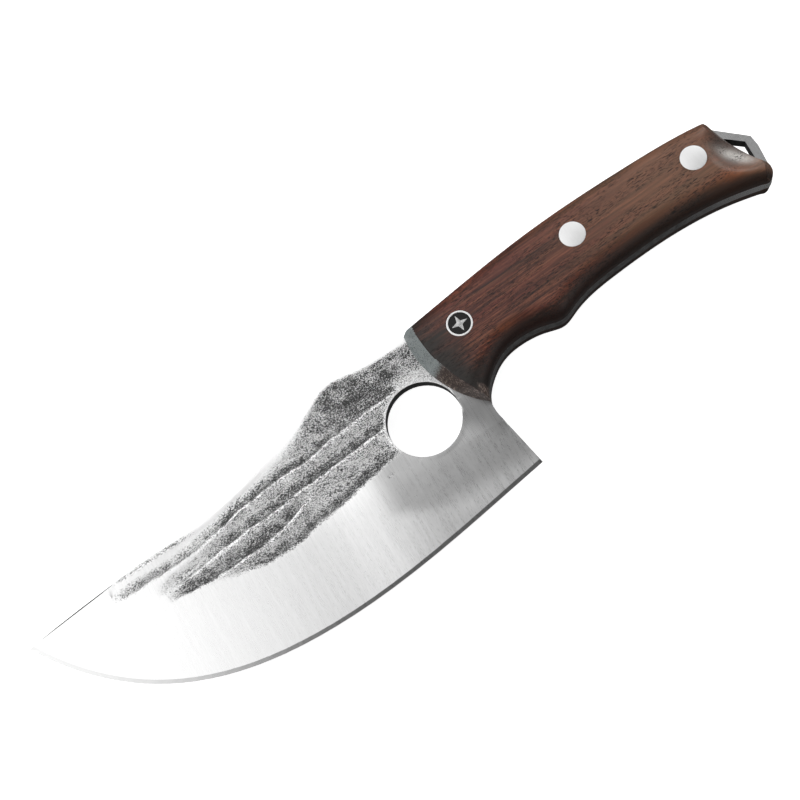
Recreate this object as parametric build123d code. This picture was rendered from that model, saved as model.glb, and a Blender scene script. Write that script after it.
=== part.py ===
from build123d import *
import os
from math import cos, pi, sin, sqrt

# Full-tang butcher's cleaver with a finger hole, in millimetres.
# Origin: centre of the finger hole, in the middle of the steel's thickness.
# +X runs from the tip to the pommel, +Y from the cutting edge to the spine, and +Z out of the left face.

# ---------------------------------------------------------------- driving dimensions
# Steel: blade and tang are one plate
stock = 4.0                   # plate thickness, which the spine and the tang keep
hole_radius = 12.0            # finger hole
blade_reach = 141.0           # hole centre to tip
blade_depth = 39.7            # hole centre to the lowest point of the cutting edge
tip_height = 5.7              # tip above the hole centre
hump_setback = 20.0           # hole centre to the top of the hump
hump_height = 27.0            # top of the hump above the hole centre
neck_wall = 13.3              # steel between the hole and the spine
choil_wall = 8.0              # steel between the hole and the choil
heel_sweep = 3.4              # how far the heel stands behind the choil
heel_rise = 8.7               # heel above the lowest point of the cutting edge
grind_gap = 1.5               # flat steel left between the hole and the ground face
edge_land = 0.16              # thickness at the very edge
shoulder_thickness = 0.9      # thickness where the honed edge meets the ground face
honed_width = 1.2             # width of the honed edge

# Handle
handle_end = 133.2            # hole centre to the back of the pommel
spine_height = 33.9           # highest point of the handle's back above the hole centre
belly_height = 9.6            # top of the long hollow under the handle
pommel_height = 5.1           # pommel's underside
bump_height = 3.3             # finger bump
bump_position = 53.0          # hole centre to the finger bump
groove_height = 5.6           # top of the finger groove in front of the bump
scale_thickness = 7.68        # wood on each side of the tang
film_thickness = 0.12         # epoxy between wood and steel
scale_edge_radius = 5.5       # rounding along the back and the belly
scale_to_hole_gap = 0.5       # steel showing between the hole and the scales' front
front_arc_radius = 36.0       # front of the scales, against the steel
front_arc_angle = 24.8 * pi / 180
bevel_width = 3.1             # sloping front face of each scale, beside the finger hole
tail_slope = 4.0              # how far each scale's rear face leans forward over its height
dish_radius = 18.4            # thumb dish at the back of each scale
dish_depth = 5.4
dish_height = 20.0            # dish centre above the hole centre
dish_setback = 2.2            # dish centre in front of the pommel's back

# Lanyard eye: the tang runs on past the scales as a flat loop
eye_overhang = 1.1            # how far the loop stands behind the pommel
eye_wall = 2.6
eye_cover = 0.8               # how far the opening runs on under the wood

# Rivets: each is a hollow sleeve from the left and a stud from the right
front_rivet_setback = 16.9    # behind the foremost point of the scales
rear_rivet_setback = 19.8     # in front of the pommel's back
front_rivet_height = 17.5
back_rivet_height = 22.5      # middle and rear rivets
head_radius = 4.15
head_thickness = 1.8
sleeve_radius = 2.6
stud_radius = 1.6
bore_clearance = 0.05
head_clearance = 0.03
stud_clearance = 0.02
rivet_end_gap = 0.6           # air at the end of each sleeve and each stud

# Badge set into the front rivet's left head
badge_rim = 0.55
badge_recess = 1.0
badge_base = 0.45
emblem_height = 0.45
emblem_radius = 2.8
emblem_waist = 0.95
emblem_points = 4
enamel_thickness = 0.35
badge_clearance = 0.02

# ---------------------------------------------------------------- derived sizes
half_stock = stock / 2
scale_floor = half_stock + film_thickness
half_width = scale_floor + scale_thickness
neck_height = hole_radius + neck_wall
choil = hole_radius + choil_wall
heel = Vector(choil + heel_sweep, heel_rise - blade_depth)
grind_height = -(hole_radius + grind_gap)
overrun = 8.0                 # outlines run past the pommel, and are trimmed there
clear = 60.0                  # cutters reach this far past everything
front_arc_centre = Vector(cos(front_arc_angle), sin(front_arc_angle)) * (
    hole_radius + scale_to_hole_gap + front_arc_radius
)
scale_front = front_arc_centre.X - front_arc_radius
front_rivet = scale_front + front_rivet_setback
rear_rivet = handle_end - rear_rivet_setback
middle_rivet = (front_rivet + rear_rivet) / 2
rivets = {
    "front": Vector(front_rivet, front_rivet_height),
    "middle": Vector(middle_rivet, back_rivet_height),
    "rear": Vector(rear_rivet, back_rivet_height),
}


def out(share):
    """X at a share of the way from the hole centre to the tip."""
    return -share * blade_reach


def back(share):
    """X at a share of the way from the choil to the pommel's back."""
    return choil + share * (handle_end - choil)


# ---------------------------------------------------------------- outlines
def handle_spine():
    """Back of the handle, from past the pommel to the neck over the hole."""
    return Spline(
        (handle_end + overrun, spine_height - 6.0),
        (back(0.93), spine_height - 1.8),
        (back(0.68), spine_height),
        (back(0.35), spine_height - 1.0),
        (back(0.0), (neck_height + spine_height) / 2 - 1.5),
        (0, neck_height),
    )


def handle_belly():
    """Underside of the handle, from the choil over groove and bump to past the pommel."""
    hollow_start = bump_position + 5.5
    return Spline(
        (choil + 0.2, -hole_radius),
        (choil, -10),
        (choil + 0.9, -5),
        (choil + 5.2, 0.4),
        (choil + 12, 4.5),
        ((choil + 16 + bump_position) / 2 - 4.0, groove_height),
        (bump_position - 5.5, (groove_height + bump_height) / 2 + 0.1),
        (bump_position, bump_height),
        (hollow_start, bump_height + 1.8),
        ((hollow_start + back(0.65)) / 2 - 1.0, belly_height - 1.1),
        (back(0.65), belly_height),
        (back(0.86), (belly_height + pommel_height) / 2 + 0.6),
        (handle_end - 3.5, pommel_height),
        (handle_end + overrun, pommel_height - 3.2),
    )


def blade_spine():
    """Spine from the neck over the hump to where the blade starts to taper."""
    return Spline(
        (0, neck_height),
        (-hump_setback / 2, (neck_height + hump_height) / 2 - 0.4),
        (-hump_setback, hump_height),
        (-hump_setback - 8, hump_height - 3.0),
        (out(0.32), hump_height - 9.9),
        (out(0.43), tip_height + 7.0),
        (out(0.53), tip_height + 4.7),
        (out(0.62), tip_height + 4.1),
        tangents=[(-1, 0), (-1, -0.06)],
    )


def plate_outline(rise, reach_loss, edge_points):
    """Closed outline of the plate at one height, its lower side drawn through edge_points.

    rise lifts the heel end of the lower side, and reach_loss pulls its tip end back.
    """
    taper_start = Vector(out(0.62), tip_height + 4.1)
    true_tip = Vector(-blade_reach, tip_height)
    tip = taper_start + (true_tip - taper_start) * (1 - reach_loss)
    crown = Vector(0, 0.9 * (1 - reach_loss) + 0.4 * reach_loss)
    heel_line = Vector(choil + 0.2, -hole_radius)
    heel_end = heel + (heel_line - heel) * rise
    back_line = Spline(taper_start, (taper_start + tip) / 2 + crown, tip)
    lower_line = Spline(tip, *edge_points, heel_end)
    heel_side = Line(heel_end, heel_line)
    pommel_line = Line(handle_belly() @ 1, handle_spine() @ 0)
    edges = [blade_spine(), back_line, lower_line, heel_side, handle_belly(), pommel_line, handle_spine()]
    return Wire(edges)


def edge_outline():
    """Outline at the cutting edge."""
    points = [
        (out(0.917), -0.25 * blade_depth),
        (out(0.796), -0.62 * blade_depth),
        (out(0.638), -0.88 * blade_depth),
        (out(0.425), -blade_depth),
        (out(0.142), -0.95 * blade_depth),
    ]
    return plate_outline(0, 0, points)


def shoulder_outline():
    """Outline where the honed edge meets the ground face."""
    inset = honed_width
    points = [
        (out(0.917) + 0.8 * inset, -0.25 * blade_depth + 0.7 * inset),
        (out(0.796) + 0.5 * inset, -0.62 * blade_depth + 0.9 * inset),
        (out(0.638) + 0.3 * inset, -0.88 * blade_depth + inset),
        (out(0.425), -blade_depth + inset),
        (out(0.142), -0.95 * blade_depth + inset),
    ]
    heel_height = abs(heel.Y + hole_radius)
    return plate_outline(inset / heel_height, 0.03, points)


def grind_outline():
    """Outline of the plate's flat face, which ends at the grind line."""
    points = [
        (out(0.64), grind_height + 7.5),
        (out(0.5), grind_height + 3.4),
        (out(0.3), grind_height + 1.3),
        (0, grind_height),
    ]
    heel_height = abs(heel.Y + hole_radius)
    return plate_outline(1 - grind_gap / heel_height, 0.52, points)


def tail_nose():
    """Rounded lower corner of the pommel, shared by the steel and the wood."""
    return ThreePointArc(
        (handle_end, pommel_height + 5.7),
        (handle_end - 0.6, pommel_height + 2.1),
        (handle_end - 4.2, pommel_height - 0.2),
    )


def tail_face(rear_line):
    """Region behind the pommel: rear_line runs from above the spine down to the nose."""
    nose = tail_nose()
    below = Line(nose @ 1, ((nose @ 1).X, -clear))
    floor = Line(below @ 1, (handle_end + clear, -clear))
    far = Line(floor @ 1, (handle_end + clear, clear))
    top = Line(far @ 1, rear_line[0] @ 0)
    return make_face([*rear_line, nose, below, floor, far, top])


def spine_corner():
    return Vector(handle_end - 8.0, spine_height - 1.8)


def scale_tail(slope):
    """Cutter behind the wood's hollow rear end, which leans forward by slope over the scale's height."""
    corner = spine_corner()
    lead = Line((corner.X, clear), corner)
    hollow = ThreePointArc(corner, (handle_end - 5.4, dish_height + 1.8), tail_nose() @ 0)
    face = tail_face([lead, hollow])
    return loft([Pos(0, 0, half_stock) * face, Pos(-slope, 0, half_width) * face], ruled=True)


def eye_corners():
    """Outer corners of the lanyard loop, from the spine down to the nose."""
    corner = spine_corner()
    return [
        corner,
        corner + Vector(0.4, -2.1),
        Vector(handle_end + eye_overhang - 0.1, dish_height + 1.4),
        Vector(handle_end + eye_overhang, dish_height - 2.5),
        tail_nose() @ 0,
    ]


def tang_tail():
    """Cutter behind the lanyard loop."""
    corners = eye_corners()
    face = tail_face([Line((corners[0].X, clear), corners[0]), Polyline(*corners)])
    return extrude(face, amount=clear, both=True)


def eye_opening():
    """Opening of the lanyard loop, inside eye_wall of steel and running on under the wood."""
    knuckle = Vector(handle_end + eye_overhang - eye_wall, dish_height + 0.8)
    face = make_face(
        Polyline(
            knuckle + Vector(-4.8, 4.5),
            knuckle,
            knuckle + Vector(-0.6, -6.0),
            knuckle + Vector(-0.8 - eye_cover, -6.0),
            knuckle + Vector(-4.8 - eye_cover, 3.4),
            close=True,
        )
    )
    return extrude(face, amount=clear, both=True)


# ---------------------------------------------------------------- steel
def at_height(wire, height):
    return wire.moved(Location((0, 0, height)))


def blade_and_tang():
    half_land = edge_land / 2
    half_shoulder = shoulder_thickness / 2
    edge, shoulder, grind = edge_outline(), shoulder_outline(), grind_outline()
    heights = [half_land, half_shoulder, half_stock]
    upper = [at_height(wire, height) for wire, height in zip([edge, shoulder, grind], heights)]
    lower = [at_height(wire, -height) for wire, height in zip([edge, shoulder, grind], heights)]
    plate = Solid.make_loft([*reversed(lower), *upper], ruled=True)
    plate -= tang_tail()
    plate -= eye_opening()
    plate -= Cylinder(hole_radius, 2 * clear)
    for centre in rivets.values():
        plate -= Pos(centre) * Cylinder(sleeve_radius + bore_clearance, 2 * clear)
    return plate


# ---------------------------------------------------------------- wood and epoxy
def handle_face():
    """Handle's outline, from a little in front of the scales to past the pommel."""
    belly = handle_belly()
    spine = handle_spine()
    edges = [
        belly,
        Line(belly @ 1, spine @ 0),
        spine,
        Line(spine @ 1, (0, (belly @ 0).Y)),
        Line((0, (belly @ 0).Y), belly @ 0),
    ]
    return make_face(edges)


def on_front_arc(height):
    """Point of the scales' front line at a height above the hole centre."""
    drop = height - front_arc_centre.Y
    return Vector(front_arc_centre.X - sqrt(front_arc_radius**2 - drop**2), height)


def behind(top, middle, bottom, level):
    """Region behind an arc through three points, as a face at one level."""
    far = handle_end + clear
    edges = [
        ThreePointArc(top, middle, bottom),
        Line(bottom, (far, bottom.Y)),
        Line((far, bottom.Y), (far, top.Y)),
        Line((far, top.Y), top),
    ]
    return Pos(0, 0, level) * make_face(edges)


def front_region(bottom_level, top_level, slope):
    """Solid behind the scales' front, its face sloping back by slope at the top."""
    top = on_front_arc(spine_height + 2)
    bottom = on_front_arc(-8)
    towards_hole = front_arc_centre.normalized()
    middle = front_arc_centre - towards_hole * front_arc_radius
    low = behind(top, middle, bottom, bottom_level)
    high = behind(top + Vector(1.1 * slope, 0), middle + towards_hole * slope, bottom, top_level)
    return loft([low, high], ruled=True)


def rivet_passage(centre, with_counterbore):
    """Bore for a sleeve, with its head's counterbore at the outer face."""
    passage = Pos(centre) * Cylinder(sleeve_radius + bore_clearance, 2 * clear)
    if with_counterbore:
        seat = half_width - head_thickness
        mouth = Cylinder(
            head_radius + head_clearance, clear, align=(Align.CENTER, Align.CENTER, Align.MIN)
        )
        passage += Pos(centre.X, centre.Y, seat) * mouth
    return passage


def left_scale():
    slab = extrude(handle_face(), amount=scale_thickness)
    slab = Pos(0, 0, scale_floor) * slab
    rim = slab.faces().sort_by(Axis.Z)[-1].edges().filter_by(GeomType.BSPLINE)
    slab = fillet(rim, scale_edge_radius)
    slab &= front_region(scale_floor, half_width, bevel_width)
    slab -= scale_tail(tail_slope)
    dish_centre = Vector(handle_end - dish_setback, dish_height, half_width - dish_depth + dish_radius)
    slab -= Pos(dish_centre) * Sphere(dish_radius)
    for centre in rivets.values():
        slab -= rivet_passage(centre, True)
    return slab


def left_glue_film():
    film = extrude(handle_face(), amount=film_thickness)
    film = Pos(0, 0, half_stock) * film
    film &= front_region(half_stock, scale_floor, 0)
    film -= scale_tail(0)
    for centre in rivets.values():
        film -= rivet_passage(centre, False)
    return film


# ---------------------------------------------------------------- rivets and badge
def standing(radius, bottom, top):
    """Round bar along Z between two levels."""
    bar = Cylinder(radius, top - bottom, align=(Align.CENTER, Align.CENTER, Align.MIN))
    return Pos(0, 0, bottom) * bar


def rivet_sleeve():
    seat = half_width - head_thickness
    sleeve_end = -seat + rivet_end_gap
    sleeve = standing(head_radius, seat, half_width)
    sleeve += standing(sleeve_radius, sleeve_end, seat)
    sleeve -= standing(stud_radius + stud_clearance, sleeve_end, seat)
    return sleeve


def rivet_stud():
    seat = half_width - head_thickness
    stud = standing(head_radius, -half_width, -seat)
    stud += standing(stud_radius, -seat, seat - rivet_end_gap)
    return stud


def badge_floor():
    return half_width - badge_recess


def emblem(bottom, top):
    """Plain pointed star, raised from the badge."""
    corners = []
    for index in range(2 * emblem_points):
        radius = emblem_waist if index % 2 else emblem_radius
        angle = index * pi / emblem_points
        corners.append((radius * cos(angle), radius * sin(angle)))
    star = make_face(Polyline(*corners, close=True))
    return Pos(0, 0, bottom) * extrude(star, amount=top - bottom)


def badge_disc():
    radius = head_radius - badge_rim - badge_clearance
    base_top = badge_floor() + badge_base
    disc = standing(radius, badge_floor(), base_top)
    return disc + emblem(base_top, base_top + emblem_height)


def badge_enamel():
    radius = head_radius - badge_rim - badge_clearance
    base_top = badge_floor() + badge_base
    enamel = standing(radius, base_top, base_top + enamel_thickness)
    return enamel - emblem(base_top, base_top + emblem_height)


# ---------------------------------------------------------------- assembly
def mirrored(shape):
    return mirror(shape, about=Plane.XY)


def build():
    wood = left_scale()
    film = left_glue_film()
    parts = {
        "blade_and_tang": blade_and_tang(),
        "left_scale": wood,
        "right_scale": mirrored(wood),
        "left_glue_film": film,
        "right_glue_film": mirrored(film),
    }
    for name, centre in rivets.items():
        sleeve = rivet_sleeve()
        if name == "front":
            sleeve -= standing(head_radius - badge_rim, badge_floor(), half_width)
        parts[f"{name}_rivet_sleeve"] = Pos(centre) * sleeve
        parts[f"{name}_rivet_stud"] = Pos(centre) * rivet_stud()
    parts["badge_disc"] = Pos(rivets["front"]) * badge_disc()
    parts["badge_enamel"] = Pos(rivets["front"]) * badge_enamel()
    return parts


os.makedirs("parts", exist_ok=True)
for node, shape in build().items():
    export_step(shape, f"parts/{node}.step")
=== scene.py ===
from math import cos, pi, radians, sin, sqrt

import bmesh
import bpy
import numpy as np
from mathutils import Matrix, Vector, noise


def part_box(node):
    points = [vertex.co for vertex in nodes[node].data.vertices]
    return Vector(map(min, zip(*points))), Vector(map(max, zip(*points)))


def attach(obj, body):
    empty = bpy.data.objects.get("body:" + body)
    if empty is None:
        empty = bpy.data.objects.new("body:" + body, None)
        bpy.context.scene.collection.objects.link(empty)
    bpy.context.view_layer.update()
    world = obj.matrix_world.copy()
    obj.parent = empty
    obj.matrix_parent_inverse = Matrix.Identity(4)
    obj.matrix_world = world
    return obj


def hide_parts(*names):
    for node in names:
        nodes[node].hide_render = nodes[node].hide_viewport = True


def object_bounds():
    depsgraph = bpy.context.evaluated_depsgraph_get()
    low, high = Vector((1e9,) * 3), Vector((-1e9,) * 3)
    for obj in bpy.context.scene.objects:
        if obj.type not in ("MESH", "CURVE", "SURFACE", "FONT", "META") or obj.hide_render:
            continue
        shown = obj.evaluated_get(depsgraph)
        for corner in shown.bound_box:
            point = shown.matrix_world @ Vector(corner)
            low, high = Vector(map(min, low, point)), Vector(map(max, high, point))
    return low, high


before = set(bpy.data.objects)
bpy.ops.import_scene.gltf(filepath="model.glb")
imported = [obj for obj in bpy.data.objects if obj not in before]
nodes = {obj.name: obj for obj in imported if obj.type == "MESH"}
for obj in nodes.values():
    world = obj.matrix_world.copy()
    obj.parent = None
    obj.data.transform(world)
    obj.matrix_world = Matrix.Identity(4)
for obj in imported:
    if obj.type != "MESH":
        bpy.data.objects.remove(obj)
cad_low, cad_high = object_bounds()

# Butcher's cleaver, in its rest pose, around the fixed frame. Sizes below are in millimetres in the
# frame's own axes: origin at the finger hole's centre, +X to the pommel, +Y to the spine, +Z up.
MM = 0.001


def span(name):
    """Lowest and highest corner of a CAD node, in millimetres."""
    low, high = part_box(name)
    return low / MM, high / MM


# ---------------------------------------------------------------- sizes read from the frame
_, steel_high = span("blade_and_tang")
wood_low, wood_high = span("left_scale")
head_low, head_high = span("middle_rivet_stud")
half_stock = steel_high.z
half_width = wood_high.z
scale_floor = wood_low.z
rivet_centres = []
for rivet in ("front", "middle", "rear"):
    low, high = span(rivet + "_rivet_stud")
    rivet_centres.append((low + high) / 2)
head_radius = (head_high.x - head_low.x) / 2

# ---------------------------------------------------------------- finish sizes
hole_radius = 12.0
tip_height = 5.7              # tip above the hole's centre
grind_slope = 0.062           # lean of each ground face
grind_blend = 3.5             # how softly the flat face rolls over into the ground face
edge_round = 0.22             # softened edges of the spine, the tang and the holes
flute_depth = 0.42            # deepest hammered hollow below the plate's face
hammer_depth = 0.07           # uneven forging between the hollows
scale_edge_radius = 5.5       # rounding along the handle's back and belly
crown_drop = 0.75             # how much lower the broad face is at its edges than along the rivets
crown_line = 0.55             # share of the handle's height where it is thickest
bevel_width = 3.1             # sloping front of each scale
front_arc_centre = Vector((44.03, 20.34, 0))
front_arc_radius = 36.0
tail_slope = 4.0              # how far each scale's rear face leans forward
dish_centre = Vector((131.0, 20.0, 22.8))
dish_radius = 18.4            # thumb dish at the back of each scale
sleeve_radius = 2.65          # bore for each rivet's shank
head_clearance = 0.03         # gap round each rivet's head
head_thickness = 1.8
rivet_round = 0.12            # softened edges of the rivets
badge_round = 0.05
bevel_round = 0.18            # rounding where a scale's end face meets its broad face
dish_round = 1.6              # rounding of the thumb dish's rim
handle_height = 27.0          # usual distance from belly to spine
cad_weld = 0.001              # CAD corners closer than this are one point
mesh_weld = 0.002
steel_crease = 40             # an edge that turns by more degrees stays sharp
wood_crease = 55

# ---------------------------------------------------------------- the blade's forged skin
# Each stretch is along X: the named thing starts at the first number and is full at the second.
hollow_stretch = (-113, -84)
skin_stretch = (-94, -70)
oxide_stretch = (-86, -60)
hump_stretch = (-62, -14)
neck_stretch = (-9, 6)
skin_stop = 12                # the forged skin ends here, beside the hole
widest_hollow = 9.0
narrowest_hollow = 1.5
ridge_growth = 9              # length over which a ridge rises from the plate
wall_foot = 0.4               # how far a ridge's dark wall reaches below its crest
lowest_foot = 1.3             # the same for the lowest ridge, which fades into the brushed face
mark_width = 0.6              # lone marks: the line near the spine, and the scar
scar_x = -14
scar_y = -10.1
flat_facing = 0.9             # a face whose normal has this much Z lies flat
eye_low = 13                  # the lanyard eye lies between these heights
eye_high = 27


# ---------------------------------------------------------------- small helpers
def smooth(low, high, value):
    """Smooth step from 0 at low to 1 at high."""
    share = np.clip((value - low) / (high - low), 0, 1)
    return share * share * (3 - 2 * share)


def soft_min(first, second, radius):
    """Lower of two heights, rounded over where they meet."""
    mix = np.clip(0.5 + 0.5 * (second - first) / radius, 0, 1)
    return second + (first - second) * mix - radius * mix * (1 - mix)


def wander(x, y, size, seed):
    """Smooth noise from -1 to 1 at each point, with features of about size."""
    found = [noise.noise(Vector((a / size, b / size, seed))) for a, b in zip(x, y)]
    return np.array(found)


class Path:
    """Smooth curve through a row of points, read at shares of its length."""

    def __init__(self, points):
        self.points = np.asarray(points, float)
        steps = np.linalg.norm(np.diff(self.points, axis=0), axis=1)
        self.along = np.concatenate([[0], np.cumsum(steps)])
        self.along /= self.along[-1]
        self.slopes = np.gradient(self.points, self.along, axis=0)

    def at(self, share):
        """Point at a share of the length, on cubic stretches between the given points."""
        share = np.clip(np.asarray(share, float), 0, 1)
        index = np.clip(np.searchsorted(self.along, share) - 1, 0, len(self.along) - 2)
        gap = self.along[index + 1] - self.along[index]
        t = ((share - self.along[index]) / gap)[..., None]
        gap = gap[..., None]
        first, second = self.points[index], self.points[index + 1]
        rise, fall = self.slopes[index] * gap, self.slopes[index + 1] * gap
        return (
            first * (2 * t**3 - 3 * t**2 + 1)
            + rise * (t**3 - 2 * t**2 + t)
            + second * (3 * t**2 - 2 * t**3)
            + fall * (t**3 - t**2)
        )


def height_line(points):
    """Function of X through points, smooth and level past its ends."""
    path = Path(points)
    shares = np.linspace(0, 1, 200)
    line = path.at(shares)
    return lambda x: np.interp(x, line[:, 0], line[:, 1])


def placed(name, data):
    """New object in the scene."""
    holder = bpy.data.objects.new(name, data)
    bpy.context.scene.collection.objects.link(holder)
    return holder


def new_piece(name, mesh, material, slot, *replaced):
    """Visual piece on the root body that stands in for the replaced CAD nodes."""
    piece = placed(name, mesh)
    mesh.materials.clear()
    mesh.materials.append(material)
    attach(piece, "root")
    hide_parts(*replaced)


def ring(bm, centre, radius, height, sides):
    """Level circle of points round a centre."""
    points = []
    for k in range(sides):
        angle = 2 * pi * k / sides
        place = Vector((centre.x + radius * cos(angle), centre.y + radius * sin(angle), height))
        points.append(bm.verts.new(place * MM))
    return points


def join_rings(bm, rings):
    """Band of faces from each ring to the next, and a face across each end."""
    sides = len(rings[0])
    for low, high in zip(rings, rings[1:]):
        for k in range(sides):
            bm.faces.new([low[k], low[(k + 1) % sides], high[(k + 1) % sides], high[k]])
    bm.faces.new(rings[0][::-1])
    bm.faces.new(rings[-1])


def smooth_shading(mesh, angle):
    """Smooth shading, with edges kept sharp where the faces turn by more than angle degrees."""
    mesh.shade_smooth()
    mesh.set_sharp_from_angle(angle=radians(angle))


def read(items, key):
    """One vector per mesh item, as rows of an array."""
    values = np.empty(len(items) * 3)
    items.foreach_get(key, values)
    return values.reshape(-1, 3)


def store(mesh, name, values, domain="POINT"):
    """Keeps one number per point or face on the mesh, for the materials to read."""
    layer = mesh.attributes.new(name, "FLOAT", domain)
    layer.data.foreach_set("value", np.asarray(values, np.float32))


# ---------------------------------------------------------------- shader helpers
class Recipe:
    """Node tree under construction: all but feed add a node and return its output socket."""

    def __init__(self, tree):
        self.tree = tree

    def feed(self, socket, value):
        """Links another socket in, or sets a constant."""
        if isinstance(value, bpy.types.NodeSocket):
            self.tree.links.new(value, socket)
        else:
            socket.default_value = value

    def add(self, kind, inputs, output=0, **settings):
        node = self.tree.nodes.new("ShaderNode" + kind)
        for key, setting in settings.items():
            setattr(node, key, setting)
        for socket, value in inputs.items():
            self.feed(node.inputs[socket], value)
        return node.outputs[output]

    def maths(self, operation, first, second=0.0):
        return self.add("Math", {0: first, 1: second}, operation=operation)

    def times(self, first, second):
        return self.maths("MULTIPLY", first, second)

    def plus(self, first, second):
        return self.maths("ADD", first, second)

    def step(self, value, low, high, start=0.0, end=1.0):
        """Smooth change from start to end while value goes from low to high."""
        inputs = {"Value": value, 1: low, 2: high, 3: start, 4: end}
        return self.add("MapRange", inputs, interpolation_type="SMOOTHSTEP")

    def blend(self, share, first, second):
        inputs = {"Fac": share, "Color1": first, "Color2": second}
        return self.add("MixRGB", inputs)

    def stretched(self, vector, scale, shift=(0, 0, 0), turn=(0, 0, 0)):
        """Place with its own scale on each axis: a larger scale gives finer detail on that axis."""
        inputs = {"Vector": vector, "Scale": scale, "Location": shift, "Rotation": turn}
        return self.add("Mapping", inputs)

    def noise(self, vector, detail=2.0, roughness=0.5, distortion=0.0):
        inputs = {"Vector": vector, "Scale": 1.0, "Detail": detail}
        inputs.update({"Roughness": roughness, "Distortion": distortion})
        return self.add("TexNoise", inputs)

    def attribute(self, name):
        return self.add("Attribute", {}, 2, attribute_name=name)

    def bump(self, height, depth, normal=None):
        """Surface relief; depth is in millimetres."""
        inputs = {"Height": height, "Distance": depth * MM, "Strength": 1.0}
        if normal is not None:
            inputs["Normal"] = normal
        return self.add("Bump", inputs)


class Finish(Recipe):
    """Principled material: self.place is the point in millimetres, in the frame's axes."""

    def __init__(self, name, **constants):
        self.material = bpy.data.materials.new(name)
        self.material.use_nodes = True
        super().__init__(self.material.node_tree)
        self.surface = self.tree.nodes["Principled BSDF"]
        coordinates = self.tree.nodes.new("ShaderNodeTexCoord")
        per_mm = (1 / MM,) * 3
        self.place = self.stretched(coordinates.outputs["Object"], per_mm)
        for key, value in constants.items():
            self.surface.inputs[key.replace("_", " ")].default_value = value

    def set(self, **sockets):
        for key, value in sockets.items():
            self.feed(self.surface.inputs[key.replace("_", " ")], value)
        return self.material


def rgb(red, green, blue):
    """Linear colour from the 0 to 255 values that a screen shows."""
    shown = [c / 255 for c in (red, green, blue)]
    return tuple(((c + 0.055) / 1.055) ** 2.4 if c > 0.04 else c / 12.92 for c in shown) + (1.0,)


def grey(level):
    """Linear grey."""
    return (level, level, level, 1.0)


# ---------------------------------------------------------------- materials
def steel_material():
    """Forged and ground steel: pitted black oxide in the hollows, brushed satin below them."""
    made = Finish("forged_steel")
    place = made.place
    forge = made.attribute("forge")
    streak = made.attribute("streak")
    wall = made.attribute("wall")
    honed = made.attribute("honed")

    # black oxide, pitted most where the streak attribute is strong, and off the crests, which carry a
    # painted highlight
    grain = made.noise(made.stretched(place, (3.4, 4.0, 3.4)), 1.0, 0.6)
    pits = made.noise(made.stretched(place, (1.6, 2.0, 1.6), (2, 5, 3)), 1.0, 0.6)
    clots = made.noise(made.stretched(place, (0.3, 0.6, 0.4), (7, 3, 1)), 3.0, 0.6)
    speckle = made.plus(made.times(grain, 0.56), made.times(pits, 0.24))
    speckle = made.plus(speckle, made.times(clots, 0.2))
    even = made.step(speckle, 0.36, 0.64)
    wavering = made.plus(made.attribute("rise"), made.step(pits, 0.25, 0.75, -0.3, 0.5))
    on_line = made.step(made.maths("ABSOLUTE", wavering), 0.05, 0.34, 1.0, 0.0)
    crest = made.times(made.attribute("ridge"), on_line)
    streak = made.times(streak, made.step(crest, 0.0, 1.0, 1.0, 0.15))
    pitted = made.step(made.maths("SUBTRACT", streak, even), -0.2, 0.2)
    pitted = made.times(pitted, made.step(streak, 0.02, 0.12))

    # brushed satin face, duller inside the lanyard loop and on the honed edge
    fine = made.noise(made.stretched(place, (9.0, 0.11, 9.0), turn=(0, 0, -0.05)), 2.0, 0.6)
    broad = made.noise(made.stretched(place, (1.1, 0.02, 1.1), (3, 8, 2)), 2.0, 0.6)
    lines = made.plus(made.times(fine, 0.6), made.times(broad, 0.4))
    satin = made.blend(made.step(lines, 0.3, 0.7), grey(0.59), grey(0.70))
    # painted reflection: the brushed face is made lighter and darker in zones
    satin = made.add("VectorMath", {0: satin, 3: made.attribute("painted_tone")}, operation="SCALE")
    satin = made.blend(made.attribute("loop"), satin, made.blend(grain, grey(0.25), grey(0.45)))
    # painted highlight: the honed edge is painted lighter towards the tip and the pommel
    ground = made.blend(made.attribute("painted_edge_highlight"), grey(0.42), grey(0.5))
    satin = made.blend(made.step(honed, 0.3, 0.8), satin, ground)
    # forged skin between the pits, and the plate's narrow walls
    raw = made.blend(made.step(grain, 0.35, 0.7), grey(0.5), grey(0.9))
    raw = made.blend(made.times(streak, 0.6), raw, grey(0.16))
    # painted highlights: the ridge crests and the strip along the spine are painted white
    raw = made.blend(made.maths("MAXIMUM", crest, made.attribute("spine_highlight")), raw, grey(1.0))
    clean = made.blend(forge, satin, raw)
    oxide = made.blend(clots, grey(0.03), grey(0.13))
    colour = made.blend(pitted, clean, oxide)
    rust = made.noise(made.stretched(place, (0.5, 0.5, 0.5), (1, 9, 4)), 4.0, 0.6)
    black = made.blend(made.step(rust, 0.35, 0.65), grey(0.03), grey(0.08))
    dull = made.blend(made.step(rust, 0.35, 0.65), grey(0.2), grey(0.38))
    # painted highlight on the narrow walls towards the tip and the pommel
    dull = made.blend(made.attribute("painted_edge_highlight"), dull, grey(0.95))
    colour = made.blend(wall, colour, made.blend(made.attribute("inner"), dull, black))

    rough = made.step(lines, 0.2, 0.8, 0.24, 0.36)
    rough = made.plus(rough, made.times(forge, 0.14))
    rough = made.plus(rough, made.times(pitted, 0.2))

    scratch = made.times(lines, made.maths("SUBTRACT", 1.0, forge))
    normal = made.bump(scratch, 0.002)
    normal = made.bump(made.times(made.times(grain, -1.0), forge), 0.11, normal)
    return made.set(Base_Color=colour, Metallic=1.0, Roughness=rough, Normal=normal)


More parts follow.
